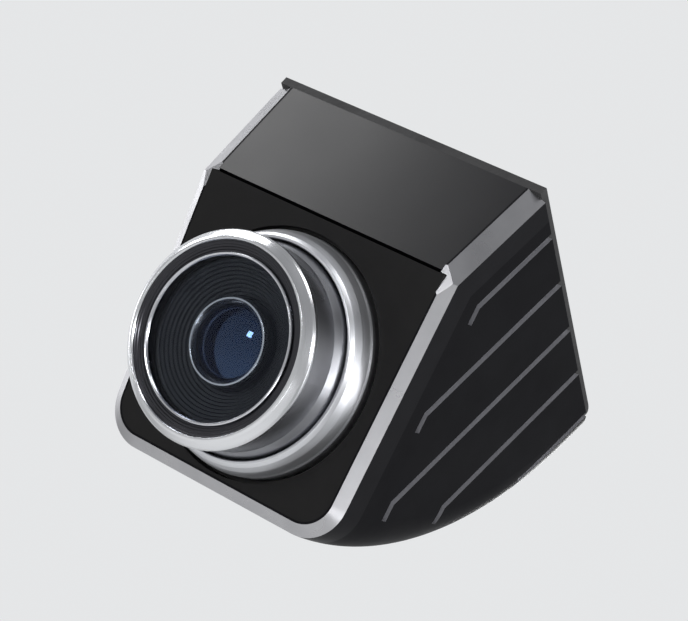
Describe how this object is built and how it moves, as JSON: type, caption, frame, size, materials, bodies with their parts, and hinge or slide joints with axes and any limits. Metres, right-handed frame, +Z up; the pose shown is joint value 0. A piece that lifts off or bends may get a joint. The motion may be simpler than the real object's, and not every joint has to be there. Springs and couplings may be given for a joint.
{
  "type": "vehicle backup camera",
  "caption": "Wedge-shaped backup camera that hangs under a tailgate lip, with a bevelled front frame, a turning collar and a tilting lens head with a bright rim.",
  "frame": {"origin": "middle of the flat mounting face on top of the camera, which presses against the underside of the vehicle's lip", "axes": "+Z up, out of the mounting face; the lens looks towards -Y and down; +X is to the right of somebody who looks into the lens"},
  "size_m": [0.03, 0.0363, 0.0341],
  "materials": {
    "black_shell": "satin near-black paint over die-cast alloy",
    "bright_bevel": "satin black with the bevelled edge polished bright",
    "satin_panel": "satin dark grey",
    "dark_plate": "matte near-black",
    "screw_steel": "zinc-plated steel",
    "rubber": "black rubber",
    "foam": "closed-cell foam",
    "alloy": "cast alloy",
    "brass": "turned brass",
    "collar_chrome": "satin chrome",
    "rim_chrome": "polished chrome",
    "barrel_metal": "smoked metallic",
    "black_plastic": "matte black",
    "lens_black": "black anodised",
    "clear_glass": "clear",
    "coated_glass": "blue-violet coated glass",
    "filter_glass": "pale cyan filter glass",
    "board_green": "green solder mask",
    "nylon": "natural nylon",
    "chip_black": "moulded epoxy",
    "sensor_dark": "glossy dark sensor window",
    "washer_plastic": "acetal"
  },
  "bodies": {
    "camera_body": {"housing": "black_shell", "front_frame": "bright_bevel", "upper_panel": "satin_panel", "face_plate": "dark_plate", "frame_screws": "screw_steel", "plate_gasket": "rubber", "mount_plate": "alloy", "plate_screws": "screw_steel", "thread_inserts": "brass", "mount_pad": "foam", "cable_gland": "rubber", "turret_seal": "rubber", "friction_washer": "washer_plastic", "main_board": "board_green", "board_screws": "screw_steel", "video_chip": "chip_black", "power_coil": "chip_black", "capacitors": "alloy", "cable_socket": "nylon", "ribbon_socket": "nylon"},
    "turret": {"turret_collar": "collar_chrome", "trunnion_pins": "screw_steel", "retaining_ring": "screw_steel"},
    "lens_head": {"lens_ball": "barrel_metal", "ball_cap": "black_plastic", "lens_rim": "rim_chrome", "glass_retainer": "rim_chrome", "cover_glass": "clear_glass", "glass_seal": "rubber", "lens_baffle": "black_plastic", "lens_barrel": "lens_black", "front_element": "coated_glass", "middle_element": "coated_glass", "rear_element": "coated_glass", "lens_holder": "black_plastic", "infrared_filter": "filter_glass", "image_sensor": "sensor_dark", "sensor_board": "board_green", "sensor_screws": "screw_steel", "sensor_socket": "nylon"}
  },
  "joints": [
    {"name": "turret_turn", "type": "hinge", "parent": "camera_body", "child": "turret", "pos_m": [0, -0.00877, -0.02232], "axis": [0, -0.8192, -0.5736], "range_deg": [-90, 90]},
    {"name": "lens_tilt", "type": "hinge", "parent": "turret", "child": "lens_head", "pos_m": [0, -0.00877, -0.02232], "axis": [1, 0, 0], "range_deg": [-8, 8]}
  ]
}
